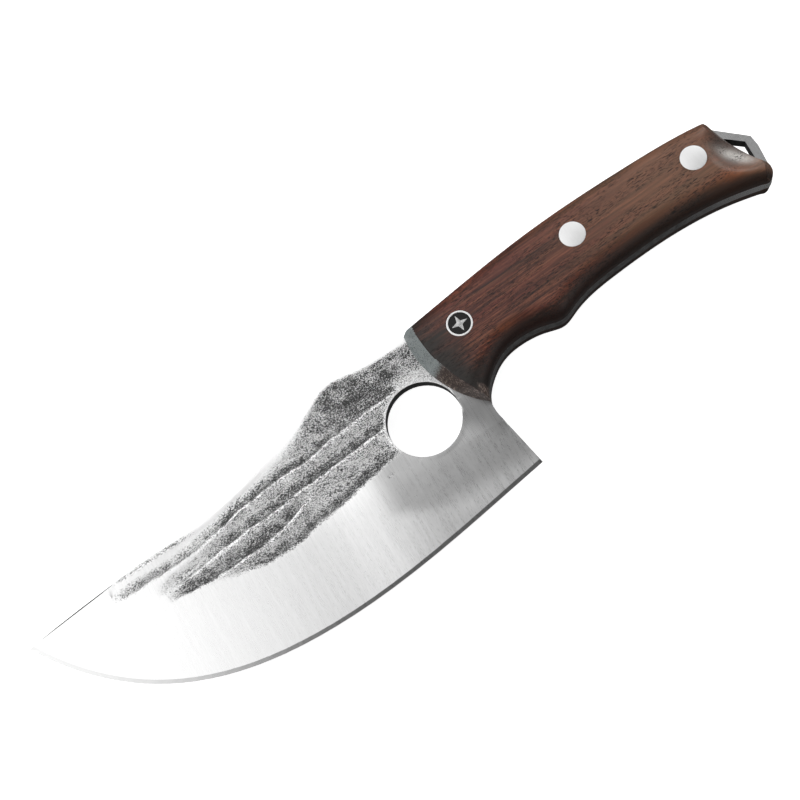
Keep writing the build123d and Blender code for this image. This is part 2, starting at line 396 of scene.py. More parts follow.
def wood_material():
    """Oiled dark hardwood: long pores, darker growth bands, darker towards the blade, with painted light
    and shade on the belly side, the bevelled front, the thumb dish and two warm spots.
    """
    made = Finish("oiled_rosewood", Coat_Weight=0.12, Coat_Roughness=0.3, IOR=1.4)
    leaning = made.stretched(made.place, (1, 1, 1), turn=(0, 0, radians(-3)))

    bands = made.noise(made.stretched(leaning, (0.012, 0.34, 0.3)), 3.0, 0.6, 0.4)
    streaks = made.noise(made.stretched(leaning, (0.05, 1.7, 1.5), (5, 2, 0)), 3.0, 0.65, 0.3)
    fibres = made.noise(made.stretched(leaning, (0.3, 6.5, 6.0), (2, 6, 1)), 2.0, 0.6)
    pores = made.noise(made.stretched(leaning, (0.55, 4.2, 4.0), (9, 1, 3)), 1.5, 0.5, 0.5)
    clusters = made.noise(made.stretched(leaning, (0.06, 0.22, 0.2), (4, 4, 8)), 2.0)
    open_pores = made.times(made.step(pores, 0.57, 0.62), made.step(clusters, 0.35, 0.56))

    # grain
    pale, red, deep = rgb(142, 87, 64), rgb(99, 49, 39), rgb(46, 25, 20)
    colour = made.blend(made.step(bands, 0.3, 0.7), deep, red)
    colour = made.blend(made.times(made.step(streaks, 0.42, 0.72), 0.7), colour, pale)
    colour = made.blend(made.times(made.step(fibres, 0.42, 0.7), 0.4), colour, deep)

    # paler towards the pommel, darker towards the blade
    aged_brown, front_darkening = rgb(136, 104, 80), rgb(36, 32, 29)
    amber, shaded = rgb(150, 84, 50), rgb(26, 15, 11)
    along = made.add("SeparateXYZ", {0: made.place}, 0)
    colour = made.blend(made.step(along, 40.0, 110.0, 0.0, 0.45), colour, aged_brown)
    upward = made.add("SeparateXYZ", {0: made.place}, 1)
    darkening_line = made.plus(along, made.times(upward, 0.4))
    darkening_line = made.plus(darkening_line, made.step(clusters, 0.2, 0.8, -4.0, 4.0))
    colour = made.blend(made.step(darkening_line, 18.0, 34.0, 1.0, 0.0), colour, front_darkening)
    # painted light: a warm glow painted on two spots of the belly edge
    colour = made.blend(made.attribute("painted_glow"), colour, amber)
    # painted shade on the faces turned towards the belly
    colour = made.blend(made.times(made.attribute("side"), 0.85), colour, shaded)

    # bevelled front: flecked brown end grain near the belly; near the spine a painted grey reflection,
    # with a painted highlight along its upper border
    face = made.attribute("face")
    upper = made.attribute("upper")
    rubbed = made.noise(made.stretched(made.place, (1.3, 1.3, 1.3), (6, 2, 5)), 3.0, 0.7)
    flecks = made.step(rubbed, 0.5, 0.68)
    lower_face = made.blend(flecks, rgb(74, 62, 57), rgb(156, 140, 130))
    bevel_reflection = made.blend(flecks, rgb(142, 149, 149), rgb(120, 127, 127))
    front = made.blend(made.step(made.plus(upper, rubbed), 0.75, 1.25), lower_face, bevel_reflection)
    colour = made.blend(face, colour, front)
    # painted highlight along the bevel's upper border
    border = made.times(made.times(face, made.maths("SUBTRACT", 1.0, face)), 2.6)
    colour = made.blend(made.times(border, upper), colour, rgb(176, 182, 182))

    # thumb dish with a painted darker reflection and a painted highlight streak in it, and the open
    # pores over everything
    colour = made.blend(made.attribute("dish"), colour, rgb(62, 55, 52))
    turned = made.stretched(made.place, (1, 1, 1), turn=(0, 0, radians(-40)))
    strokes = made.noise(made.stretched(turned, (0.5, 3.6, 3.6)), 2.0, 0.7)
    # painted highlight streak in the thumb dish, with stroke texture
    sheen = made.times(made.attribute("dish_highlight"), made.step(strokes, 0.3, 0.65, 0.65, 1.0))
    colour = made.blend(sheen, colour, rgb(214, 210, 204))
    colour = made.blend(made.times(open_pores, 0.85), colour, rgb(24, 15, 13))

    rough = made.step(streaks, 0.3, 0.7, 0.36, 0.5)
    rough = made.plus(rough, made.times(open_pores, 0.25))
    relief = made.plus(made.times(open_pores, -1.0), made.times(fibres, 0.16))
    normal = made.bump(relief, 0.09)
    return made.set(Base_Color=colour, Roughness=rough, Normal=normal)


def rivet_material():
    """Satin bright metal with fine sanding lines."""
    made = Finish("satin_rivet")
    lines = made.noise(made.stretched(made.place, (6.0, 0.35, 3.0), turn=(0, 0, 0.5)), 2.0, 0.6)
    cloud = made.noise(made.stretched(made.place, (0.7, 0.7, 0.7)), 2.0)
    colour = made.blend(made.step(lines, 0.3, 0.7), grey(0.80), grey(0.84))
    colour = made.blend(made.times(cloud, 0.15), colour, grey(0.7))
    rough = made.step(lines, 0.2, 0.8, 0.5, 0.6)
    normal = made.bump(lines, 0.002)
    return made.set(Base_Color=colour, Metallic=1.0, Roughness=rough, Normal=normal)


def badge_material():
    """Polished badge metal, a little tarnished in places."""
    made = Finish("badge_metal")
    cloud = made.noise(made.stretched(made.place, (1.4, 1.4, 1.4)), 3.0)
    fine = made.noise(made.stretched(made.place, (9.0, 9.0, 9.0)), 2.0)
    colour = made.blend(made.step(cloud, 0.35, 0.7), grey(0.62), grey(0.4))
    rough = made.step(fine, 0.3, 0.7, 0.18, 0.32)
    normal = made.bump(fine, 0.006)
    return made.set(Base_Color=colour, Metallic=1.0, Roughness=rough, Normal=normal)


def enamel_material():
    """Gloss black enamel."""
    made = Finish("black_enamel", Specular_IOR_Level=0.25, IOR=1.5)
    cloud = made.noise(made.stretched(made.place, (0.9, 0.9, 0.9)), 3.0)
    colour = made.blend(cloud, grey(0.004), grey(0.012))
    rough = made.step(cloud, 0.3, 0.7, 0.08, 0.16)
    normal = made.bump(cloud, 0.02)
    return made.set(Base_Color=colour, Roughness=rough, Normal=normal)


def epoxy_material():
    """Dark hardened epoxy between wood and steel."""
    made = Finish("dark_epoxy", IOR=1.5)
    cloud = made.noise(made.stretched(made.place, (0.5, 0.5, 2.0)), 3.0)
    colour = made.blend(cloud, rgb(20, 14, 11), rgb(48, 36, 28))
    rough = made.step(cloud, 0.3, 0.7, 0.3, 0.5)
    normal = made.bump(cloud, 0.02)
    return made.set(Base_Color=colour, Roughness=rough, Normal=normal)


def floor_material():
    """White sweep with a light of its own, so that it shows as plain white."""
    made = Finish("white_sweep", Roughness=0.9, Specular_IOR_Level=0.0, Emission_Strength=0.9,
                  Emission_Color=grey(1.0))
    cloud = made.noise(made.stretched(made.place, (0.004, 0.004, 0.004)), 2.0)
    colour = made.blend(cloud, grey(0.78), grey(0.8))
    return made.set(Base_Color=colour)


# ---------------------------------------------------------------- steel
class Ridge:
    """Crest left between two hammered hollows, with a dark wall on its spine side.

    Its line is a height at each X, and so is the darkness of the wall.
    """

    def __init__(self, line, wall_width, darkness):
        self.line = height_line(line)
        self.wall_width = wall_width
        self.darkness = height_line(darkness)
        self.start = line[0][0]
        self.end = line[-1][0]

    def presence(self, x):
        """Share of the ridge at each X: rises slowly from the tip side, ends at once at the other."""
        rise = smooth(self.start, self.start + ridge_growth, x)
        return rise * (1 - smooth(self.end - 0.5, self.end + 0.01, x))


ridges = [
    Ridge(line=[(-116, 2.5), (-99, 2.4), (-86, 2.8), (-75, 4.2), (-66, 6.3), (-58, 7.6), (-50, 8.4),
                (-37, 8.9), (-28, 10.4), (-15, 11.7), (-3, 12.9)],
          wall_width=3.6,
          darkness=[(-116, 0.0), (-112, 0.03), (-106, 0.4), (-92, 0.5), (-78, 0.4), (-68, 0.75),
                    (-58, 0.76), (-3, 0.76)]),
    Ridge(line=[(-98, -3.9), (-84, -2.6), (-76, -1.4), (-66, -0.4), (-54, 0.4), (-46, 1.4), (-33, 2.4),
                (-19, 3.5), (-9, 4.6)],
          wall_width=4.4,
          darkness=[(-98, 0.0), (-92, 0.3), (-80, 0.4), (-72, 0.72), (-60, 0.76), (-9, 0.76)]),
    Ridge(line=[(-96, -6.4), (-84, -7.4), (-76, -7.6), (-68, -7.3), (-60, -6.6), (-54, -5.6),
                (-48, -4.0), (-41, -1.2)],
          wall_width=5.4,
          darkness=[(-96, 0.0), (-91, 0.5), (-84, 0.75), (-76, 0.76), (-56, 0.76), (-48, 0.7),
                    (-41, 0.0)]),
    Ridge(line=[(-79, -9.4), (-69, -10.9), (-61, -12.0), (-51, -11.7), (-44, -10.3), (-32, -8.5),
                (-20, -5.9), (-9, -4.0)],
          wall_width=4.2,
          darkness=[(-79, 0.0), (-71, 0.35), (-63, 0.75), (-53, 0.76), (-38, 0.7), (-22, 0.76),
                    (-9, 0.6)]),
]
forged_edge = height_line([(-114, 2.0), (-101, -3.2), (-91, -6.9), (-83, -8.3), (-76, -9.5),
                           (-69, -11.0), (-61, -12.0), (-51, -11.7), (-44, -10.3), (-32, -8.5),
                           (-20, -5.9), (-9, -4.0)])
spine_streak = height_line([(-114, 8.1), (-98, 8.7), (-82, 8.8), (-75, 8.2)])


def plate_points():
    """Corner points of the CAD plate."""
    return np.array([v.co for v in nodes["blade_and_tang"].data.vertices]) / MM


def spine_line():
    """Height of the blade's back at each X, from the steel's own outline."""
    x, y, _ = plate_points().T
    back = (x < hole_radius) & (y > 0.8 * tip_height) & (np.hypot(x, y) > hole_radius + 1)
    order = np.argsort(x[back])
    return lambda at: np.interp(at, x[back][order], y[back][order])


def grind_line():
    """Height of the line where the plate's flat face ends, at each X."""
    x, y, z = plate_points().T
    flat = (z > half_stock - 0.01) & (x < 1.5 * hole_radius) & (y < tip_height)
    flat &= (np.hypot(x, y) > hole_radius + 1) & (x + y < hole_radius)
    order = np.argsort(x[flat])
    return lambda at: np.interp(at, x[flat][order], y[flat][order])


def room_above(index, heights, presences):
    """Width of the hollow between a ridge and the next ridge above it."""
    if index == 0:
        return widest_hollow
    room = np.maximum(heights[index - 1] - heights[index], narrowest_hollow)
    if index < len(ridges) - 1:
        return room
    past_short_ridge = np.maximum(heights[index - 2] - heights[index], narrowest_hollow)
    return np.where(presences[index - 1] > 0.05, room, past_short_ridge)


def hollow_fields(x, y, ragged):
    """Shares of hollow, dark wall and painted crest highlight, and the rise over the nearest ridge."""
    depth = np.zeros_like(x)
    streak = np.zeros_like(x)
    rise = np.full_like(x, widest_hollow)
    ridge_highlight_share = np.zeros_like(x)
    heights = [ridge.line(x) + ragged for ridge in ridges]
    presences = [ridge.presence(x) for ridge in ridges]
    lowest = len(ridges) - 1
    for index, ridge in enumerate(ridges):
        above = y - heights[index]
        share = np.clip(above / room_above(index, heights, presences), 0, 1)
        hollow = smooth(0.0, 1.3, above) * (1 - smooth(0.15, 1.0, share))
        depth = np.maximum(depth, hollow * presences[index] * (above > 0))
        foot = lowest_foot if index == lowest else wall_foot
        wall = smooth(-foot, 0.3, above) * (1 - smooth(0.4, 1.25, above / ridge.wall_width))
        strength = ridge.darkness(x) * (x > ridge.start) * (x < ridge.end)
        streak = np.maximum(streak, wall * strength)
        nearer = (np.abs(above) < np.abs(rise)) & (presences[index] > 0)
        rise = np.where(nearer, above, rise)
        patchy = 0.2 + 0.8 * smooth(-0.6, 0.3, wander(x, y, size=3.0, seed=31.0 + index))
        # share of each ridge whose crest gets a painted highlight
        ridge_highlight_share = np.where(nearer, presences[index] * patchy * (index < lowest), ridge_highlight_share)
    return depth, streak, rise, ridge_highlight_share


def lone_marks(x, y):
    """Oxide away from the ridges: a broken line near the spine and a short scar below the hollows."""
    line = np.exp(-((y - spine_streak(x)) / mark_width) ** 2) * smooth(-114, -100, x)
    line *= 1 - smooth(-88, -75, x)
    line *= smooth(-0.3, 0.3, wander(x, y, size=2.0, seed=23.0) + 0.2)
    lean = 0.1 * (x + 13)
    scar = np.exp(-((y - scar_y + lean) / mark_width) ** 2) * np.exp(-((x - scar_x) / 5) ** 2)
    scar *= smooth(-0.2, 0.4, wander(x, y, size=1.8, seed=29.0))
    return np.maximum(0.7 * line, 0.55 * scar)


def flute_fields(x, y, spine):
    """Shares of hollow, forging, oxide, painted crest highlight and painted spine highlight, and the
    rise over the nearest ridge.
    """
    ragged = 0.28 * wander(x, y, size=1.6, seed=3.0) + 0.35 * wander(x, y, size=6.0, seed=5.0)
    depth, streak, rise, ridge_highlight_share = hollow_fields(x, y, ragged)
    brushed = 0.9 * wander(x, 0.1 * y, size=0.8, seed=41.0)
    inside = smooth(-0.7, 0.7, y - forged_edge(x) - ragged - brushed)
    below_spine = spine(x) - y
    rim = 1.5 + 3.5 * (1 - smooth(-42, -24, x))
    body = inside * smooth(*oxide_stretch, x) * smooth(0.25 * rim, 1.3 * rim, below_spine)
    patches = wander(x, y, size=7.0, seed=11.0)
    base = body * (0.36 + 0.2 * patches)

    hump = smooth(*hump_stretch, x) * smooth(0.2, 3.0, y - (ridges[0].line(x) + ragged))
    hump = hump * smooth(0.2 * rim, 1.2 * rim, below_spine)
    hump_oxide = 0.72 + 0.35 * wander(x, y, size=5.0, seed=17.0)
    base = np.maximum(base, hump * hump_oxide * (1 - 0.2 * smooth(*neck_stretch, x)))
    beside_hole = (1 - smooth(13, 18, np.hypot(x, y))) * smooth(-8, -2, x)
    base *= 1 - 0.7 * beside_hole

    streak = np.maximum(streak * (0.95 + 0.35 * wander(x, y, size=4.5, seed=37.0)), base)
    streak = np.maximum(streak, lone_marks(x, y))
    skin = x < skin_stop
    forge = np.clip(np.maximum(inside * smooth(*skin_stretch, x), 1.5 * streak), 0, 1) * skin
    uneven = hammer_depth * (0.5 + 0.5 * patches) * body
    depth = flute_depth * depth * smooth(*hollow_stretch, x) + uneven
    # painted highlight along the bare metal next to the spine
    spine_highlight = 1 - smooth(0.1 * rim, 0.9 * rim, below_spine)
    return depth, forge, streak * skin, rise, ridge_highlight_share, spine_highlight


def steel_mesh():
    """The plate with softened edges, cut into a fine grid for the hammered hollows, none of it outside
    the CAD plate.
    """
    bm = bmesh.new()
    bm.from_mesh(nodes["blade_and_tang"].data)
    bmesh.ops.remove_doubles(bm, verts=bm.verts, dist=cad_weld * MM)
    bmesh.ops.dissolve_limit(bm, angle_limit=radians(0.05), verts=bm.verts, edges=bm.edges)
    corners = []
    for edge in bm.edges:
        high = min(abs(v.co.z) for v in edge.verts) / MM > 0.75 * half_stock
        if high and len(edge.link_faces) == 2 and edge.calc_face_angle() > radians(50):
            corners.append(edge)
    bmesh.ops.bevel(bm, geom=corners, offset=edge_round * MM, offset_type="OFFSET", segments=3,
                    profile=0.5, affect="EDGES", clamp_overlap=True)
    fine = 0.5
    cuts_x = np.union1d(np.arange(-138, 24, 4.0), np.arange(-116, 12.1, fine))
    cuts_y = np.union1d(np.arange(-38, -14, 2.0), np.arange(-14, 28.1, fine))
    for normal, positions in ((Vector((0, 1, 0)), cuts_y), (Vector((1, 0, 0)), cuts_x)):
        for position in positions:
            everything = bm.verts[:] + bm.edges[:] + bm.faces[:]
            point = normal * (position * MM)
            bmesh.ops.bisect_plane(bm, geom=everything, plane_co=point, plane_no=normal)
    many_sided = [f for f in bm.faces if len(f.verts) > 6]
    bmesh.ops.triangulate(bm, faces=many_sided)
    mesh = bpy.data.meshes.new("steel")
    bm.to_mesh(mesh)
    bm.free()
    return mesh


def forge_steel(mesh):
    """Presses the hollows into the plate's faces and stores where each finish and each painted highlight
    or shade belongs.
    """
    spine = spine_line()
    points = read(mesh.vertices, "co") / MM
    x, y, z = points.T
    flat = np.abs(read(mesh.vertices, "normal")[:, 2]) > flat_facing
    radius = np.hypot(x, y)
    depth, forge, streak, rise, ridge_highlight_share, spine_highlight = flute_fields(x, y, spine)
    below_grind = grind_line()(x) - y
    depth = depth + grind_slope * (np.sqrt(below_grind**2 + grind_blend**2) - abs(below_grind)) / 2
    edge_fade = smooth(0.15, 2.2, spine(x) - y) * smooth(hole_radius + 0.1, hole_radius + 1.6, radius)
    depth = np.where(flat, depth * edge_fade, 0)
    points[:, 2] = np.sign(z) * np.maximum(np.abs(z) - depth, 0)
    mesh.vertices.foreach_set("co", (points * MM).ravel())
    hole_rim = 1 - smooth(hole_radius + 0.25, hole_radius + 1.0, radius)
    store(mesh, "forge", forge * flat)
    store(mesh, "streak", streak * flat * (1 - hole_rim))
    store(mesh, "rise", rise)
    store(mesh, "ridge", ridge_highlight_share * flat)
    store(mesh, "spine_highlight", spine_highlight * flat)
    store(mesh, "loop", smooth(0.9 * wood_high.x, 0.92 * wood_high.x, x))
    # painted light and shade on the brushed face
    store(mesh, "painted_tone", reflected_light_map(x, y))
    # painted highlight towards the tip and the pommel
    store(mesh, "painted_edge_highlight", smooth(98, 130, x) + 1 - smooth(-80, -50, x))
    in_eye = (x > wood_high.x - 8) & (x < steel_high.x - 1) & (y > eye_low) & (y < eye_high)
    store(mesh, "inner", (radius < hole_radius + 0.5) | in_eye)
    level = np.abs(read(mesh.polygons, "normal")[:, 2])
    middle = np.array([abs(p.center.z) < 0.25 * half_stock * MM for p in mesh.polygons])
    store(mesh, "wall", 1 - smooth(0.3, 0.5, level), "FACE")
    store(mesh, "honed", (level > flat_facing) & (level < 0.985) & middle, "FACE")


def reflected_light_map(x, y):
    """Painted reflections on the brushed face: a painted bright band below the hollows, painted darker
    and lighter zones towards the hole and heel, and painted shade where the scale is reflected beside
    the wood.
    """
    # painted darker reflection right of this border, towards the hole
    border = -25 + 1.6 * np.maximum(-20 - y, 0)
    shaded = smooth(border - 2, border + 8, x)
    shade = 0.70 + 0.42 * (1 - smooth(-31, -23, y))
    # painted bright band of reflection below the hollows
    shine = 1 + 0.3 * np.exp(-(((x + 31) / 12) ** 2))
    # painted shade where the scale is reflected in the steel beside the wood
    from_wood = np.hypot(x - front_arc_centre.x, y - front_arc_centre.y) - front_arc_radius
    scale_mirror_shade = (1 - smooth(5, 12, from_wood)) * (1 - smooth(-6, 6, y))
    return (shine * (1 - shaded) + shade * shaded) * (1 - 0.45 * scale_mirror_shade)


def keep_grind_lines(mesh):
    """Marks the plain, unforged creases as sharp: the grind line and the honed shoulder."""
    bm = bmesh.new()
    bm.from_mesh(mesh)
    forge = bm.verts.layers.float["forge"]
    for edge in bm.edges:
        plain = all(v[forge] < 0.01 for v in edge.verts)
        if plain and len(edge.link_faces) == 2 and edge.calc_face_angle() > radians(8):
            edge.smooth = False
    bm.to_mesh(mesh)
    bm.free()


def make_steel(material):
    """The forged plate, in place of the CAD blade and tang."""
    mesh = steel_mesh()
    forge_steel(mesh)
    smooth_shading(mesh, steel_crease)
    keep_grind_lines(mesh)
    new_piece("forged_plate", mesh, material, "blade_steel", "blade_and_tang")


# ---------------------------------------------------------------- wood
def outer_loop(name):
    """Outline of a flat CAD node's top face, in order, in millimetres."""
    bm = bmesh.new()
    bm.from_mesh(nodes[name].data)
    bmesh.ops.remove_doubles(bm, verts=bm.verts, dist=cad_weld * MM)
    top = max(v.co.z for v in bm.verts)
    links = {}
    for edge in bm.edges:
        level = all(abs(v.co.z - top) < 0.01 * MM for v in edge.verts)
        if level and edge.calc_face_angle() > radians(45):
            first, second = edge.verts
            links.setdefault(first, []).append(second)
            links.setdefault(second, []).append(first)
    start = min(links, key=lambda v: v.co.y)
    loop = [start, links[start][0]]
    while loop[-1] is not start:
        ahead = [v for v in links[loop[-1]] if v is not loop[-2]]
        loop.append(ahead[0])
    points = np.array([v.co[:2] for v in loop[:-1]]) / MM
    bm.free()
    return points


def sides_of(loop):
    """The handle outline's four sides: belly and spine from front to back, front and tail upwards."""
    def corner(x_share, y_share):
        return int(np.argmax(loop @ np.array([x_share, y_share])))

    def run(start, end, through):
        forward = [loop[i % len(loop)] for i in range(start, start + (end - start) % len(loop) + 1)]
        backward = [loop[i % len(loop)] for i in range(start, start - (start - end) % len(loop) - 1, -1)]
        for chain in (forward, backward):
            if not any(np.allclose(point, loop[through]) for point in chain[1:-1]):
                return Path(chain)

    front_low = corner(0, -1)
    front_top = corner(-2, 1)
    tail_top = corner(1, 1.2)
    tail_low = corner(1, -2)
    belly = run(front_low, tail_low, front_top)
    spine = run(front_top, tail_top, front_low)
    front = run(front_low, front_top, tail_top)
    tail = run(tail_low, tail_top, front_low)
    return belly, spine, front, tail


def circle_through(first, second, third):
    """Centre and radius of the circle through three points."""
    a, b, c = (complex(p[0], p[1]) for p in (first, second, third))
    w = (c - a) / (b - a)
    centre = (b - a) * (w - abs(w) ** 2) / (2j * w.imag) + a
    return np.array([centre.real, centre.imag]), abs(a - centre)


class ScaleShape:
    """Outer surface of one handle scale, as columns from its front edge to its tail."""

    def __init__(self):
        loop = outer_loop("left_glue_film")
        self.belly, self.spine, self.front, self.tail = sides_of(loop)
        shares = np.linspace(0, 1, 700)
        self.edge_lines = [self.belly.at(shares), self.spine.at(shares)]
        tail_line = self.tail.at(shares)
        order = np.argsort(tail_line[:, 1])
        self.tail_y, self.tail_x = tail_line[order, 1], tail_line[order, 0]
        centre = np.array(front_arc_centre[:2])
        self.low_arc = centre, front_arc_radius

        def on_arc(height):
            return centre + [-sqrt(front_arc_radius**2 - (height - centre[1]) ** 2), height - centre[1]]

        towards = centre / np.linalg.norm(centre)
        top = on_arc(wood_high.y + 2) + [1.1 * bevel_width, 0]
        middle = centre - towards * (front_arc_radius - bevel_width)
        self.high_arc = circle_through(top, middle, on_arc(-8))

    def spot(self, u, v):
        """Point of the plan at share u from front to tail and share v from belly to spine."""
        u, v = np.broadcast_arrays(np.asarray(u, float), np.asarray(v, float))
        belly, spine = self.belly.at(u), self.spine.at(u)
        front, tail = self.front.at(v), self.tail.at(v)
        u, v = u[..., None], v[..., None]
        corners = (
            (1 - u) * (1 - v) * self.belly.points[0] + u * (1 - v) * self.belly.points[-1]
            + (1 - u) * v * self.spine.points[0] + u * v * self.spine.points[-1]
        )
        return (1 - v) * belly + v * spine + (1 - u) * front + u * tail - corners

    def edge_distance(self, point):
        """Distance from a point of the plan to the nearer long edge."""
        gaps = []
        for line in self.edge_lines:
            away = point - line[:-1]
            along = line[1:] - line[:-1]
            share = np.clip((away * along).sum(1) / (along**2).sum(1), 0, 1)
            gaps.append(np.sqrt(((away - share[:, None] * along) ** 2).sum(1)).min())
        return min(gaps)

    def top_height(self, point, v):
        """Height of the crowned and rounded broad face, with the thumb dish."""
        gap = min(self.edge_distance(point), scale_edge_radius)
        round_height = sqrt(scale_edge_radius**2 - (scale_edge_radius - gap) ** 2)
        height = half_width - scale_edge_radius + round_height
        side = v / crown_line - 1 if v < crown_line else (v - crown_line) / (1 - crown_line)
        drop = crown_drop * abs(side) ** 2.2 / (half_width - scale_floor)
        height = scale_floor + (height - scale_floor) * (1 - drop)
        out = np.hypot(point[0] - dish_centre.x, point[1] - dish_centre.y)
        if out < dish_radius - 0.5:
            bowl = dish_centre.z - sqrt(dish_radius**2 - out**2)
            height = float(soft_min(np.array(height), np.array(bowl), dish_round))
        return height

    def column_height(self, point, v, level):
        """Height of a column's own surface: a set level on the walls, else the broad face."""
        return self.top_height(point, v) if level is None else level

    def end_height(self, point):
        """Height of the sloping front face or of the leaning rear face over a point of the plan."""
        tall = half_width - scale_floor
        front = half_width + tall
        if point[0] < front_arc_centre.x:
            low = self.low_arc[1] - np.linalg.norm(point - self.low_arc[0])
            high = self.high_arc[1] - np.linalg.norm(point - self.high_arc[0])
            front = scale_floor + tall * max(low, 0) / max(low - high, 0.02)
        behind = np.interp(point[1], self.tail_y, self.tail_x) - point[0]
        rear = scale_floor + (half_width - half_stock) * max(behind, 0) / tail_slope
        return min(front, rear, 3 * half_width)


def meeting(shape, v, level, start, end):
    """Share of the length where the end face meets the column's own surface."""
    if level == scale_floor:
        return start
    low, high = start, end
    halvings = 22
    for _ in range(halvings):
        middle = (low + high) / 2
        point = shape.spot(middle, v)
        if shape.end_height(point) < shape.column_height(point, v, level):
            low = middle
        else:
            high = middle
    return (low + high) / 2


def column_places():
    """Place of each column from belly to spine, its level if it's on a wall, and the walls' count."""
    wall_top = half_width - scale_edge_radius
    walls = np.linspace(scale_floor, wall_top, 4)[:-1]
    turns = np.linspace(0, 1, 10)
    inner = np.linspace(0, 1, 56)[1:-1]
    rim = scale_edge_radius / handle_height
    columns = [(0.0, level) for level in walls]
    columns += [(rim * (1 - cos(t * pi / 2)), None) for t in turns]
    columns += [(rim + (1 - 2 * rim) * t, None) for t in inner]
    columns += [(1 - rim * (1 - cos(t * pi / 2)), None) for t in turns[::-1]]
    columns += [(1.0, level) for level in walls[::-1]]
    return columns, len(walls)


def scale_columns(shape):
    """Rows of points for every column of the scale's outer surface."""
    rows = 200
    bevel = np.array([0, 0.15, 0.35, 0.55, 0.75, 0.88, 0.95])
    body = np.concatenate([[0, 0.0006, 0.0016, 0.003], np.linspace(0.006, 0.994, rows),
                           [0.997, 0.9984, 0.9994, 1]])
    columns, wall_count = column_places()
    grid = []
    for v, level in columns:
        first = meeting(shape, v, level, 0.0, 0.12)
        last = meeting(shape, v, level, 1.0, 0.9)
        shares = np.concatenate([bevel * first, first + (last - first) * body,
                                 last + (1 - last) * (1 - bevel[::-1])])
        line = []
        for point in shape.spot(shares, v):
            tall, end = shape.column_height(point, v, level), shape.end_height(point)
            if level is None:
                tall = float(soft_min(np.array(tall), np.array(end), bevel_round))
            line.append((point[0], min(point[1], wood_high.y), max(min(tall, end), scale_floor)))
        line[0] = (line[0][0], line[0][1], scale_floor)
        line[-1] = (line[-1][0], line[-1][1], scale_floor)
        grid.append(line)
    return np.array(grid), wall_count


def scale_mesh(name, shape_grid, wall_count):
    """Closed scale: outer surface and flat underside; the rivets' stepped bores are cut later."""
    bm = bmesh.new()
    count_v, count_u, _ = shape_grid.shape
    outer = [[bm.verts.new(Vector(p) * MM) for p in column] for column in shape_grid]
    for i in range(count_v - 1):
        for j in range(count_u - 1):
            corners = [outer[i][j], outer[i + 1][j], outer[i + 1][j + 1], outer[i][j + 1]]
            bm.faces.new(corners[::-1])
    rim_columns = wall_count + 3
    kept = [0, *range(rim_columns, count_v - rim_columns), count_v - 1]
    under = []
    for i in kept:
        under.append([bm.verts.new(Vector((p[0], p[1], scale_floor)) * MM) for p in shape_grid[i]])
    for i in range(len(kept) - 1):
        for j in range(count_u - 1):
            corners = [under[i][j], under[i + 1][j], under[i + 1][j + 1], under[i][j + 1]]
            bm.faces.new(corners)
    bmesh.ops.remove_doubles(bm, verts=bm.verts, dist=mesh_weld * MM)
    bmesh.ops.dissolve_degenerate(bm, edges=bm.edges, dist=mesh_weld * MM)
    bmesh.ops.recalc_face_normals(bm, faces=bm.faces)
    mesh = bpy.data.meshes.new(name)
    bm.to_mesh(mesh)
    bm.free()
    return mesh


def bore_cutter():
    """Stepped bores for all three rivets, as one closed cutter."""
    bm = bmesh.new()
    seat = half_width - head_thickness
    profile = [(sleeve_radius, scale_floor - 1), (sleeve_radius, seat),
               (head_radius + head_clearance, seat), (head_radius + head_clearance, half_width + 1)]
    for centre in rivet_centres:
        join_rings(bm, [ring(bm, centre, radius, level, 96) for radius, level in profile])
    mesh = bpy.data.meshes.new("bores")
    bm.to_mesh(mesh)
    bm.free()
    return placed("bores", mesh)


def bored(mesh, cutter):
    """The mesh with the cutter taken out of it."""
    holder = placed("uncut", mesh)
    cut = holder.modifiers.new("bores", "BOOLEAN")
    cut.operation = "DIFFERENCE"
    cut.solver = "EXACT"
    cut.object = cutter
    graph = bpy.context.evaluated_depsgraph_get()
    result = bpy.data.meshes.new_from_object(holder.evaluated_get(graph))
    bpy.data.objects.remove(holder)
    return result


def paint_wood(mesh):
    """Shares over the wood: painted shade on the belly side, the bevelled front and its painted
    reflection, the dish's painted dark reflection and painted highlight, and a painted warm glow.
    """
    x, y, z = read(mesh.vertices, "co").T / MM
    _, ny, nz = read(mesh.vertices, "normal").T
    from_arc = front_arc_radius - np.hypot(x - front_arc_centre.x, y - front_arc_centre.y)
    on_bevel = (1 - smooth(0.75, 0.92, np.abs(nz))) * (from_arc < bevel_width + 0.4)
    on_bevel = on_bevel * (x < front_arc_centre.x)
    store(mesh, "face", on_bevel)
    # where the bevelled front carries its painted grey reflection
    store(mesh, "upper", smooth(6.0, 13.0, y))
    # painted shade on the faces turned towards the belly
    store(mesh, "side", smooth(0.25, 0.8, -ny) * (1 - on_bevel))
    from_dish = np.hypot(x - dish_centre.x, y - dish_centre.y)
    # painted darker reflection in the thumb dish
    store(mesh, "dish", (1 - smooth(8.0, 13.0, from_dish)) * smooth(11, 17, y) * 0.75)
    # painted highlight streak across the thumb dish
    gleam_x, gleam_y = x - 125.5, y - 16.8
    along = 0.64 * gleam_x - 0.77 * gleam_y
    across = 0.77 * gleam_x + 0.64 * gleam_y
    dish_highlight = np.exp(-((across / 1.9) ** 2) - (along / 5.5) ** 2)
    store(mesh, "dish_highlight", dish_highlight * (np.abs(z) < half_width - 0.6))
    # painted warm glow at the rounded belly edge by the pommel and at the waist
    pommel_glow = np.exp(-(((x - 120) / 5) ** 2) - ((y - 11) / 2.5) ** 2)
    waist_glow = np.exp(-(((x - 36) / 4) ** 2) - ((y - 8.5) / 1.6) ** 2)
    store(mesh, "painted_glow", np.clip(0.5 * pommel_glow + 0.4 * waist_glow, 0, 1))


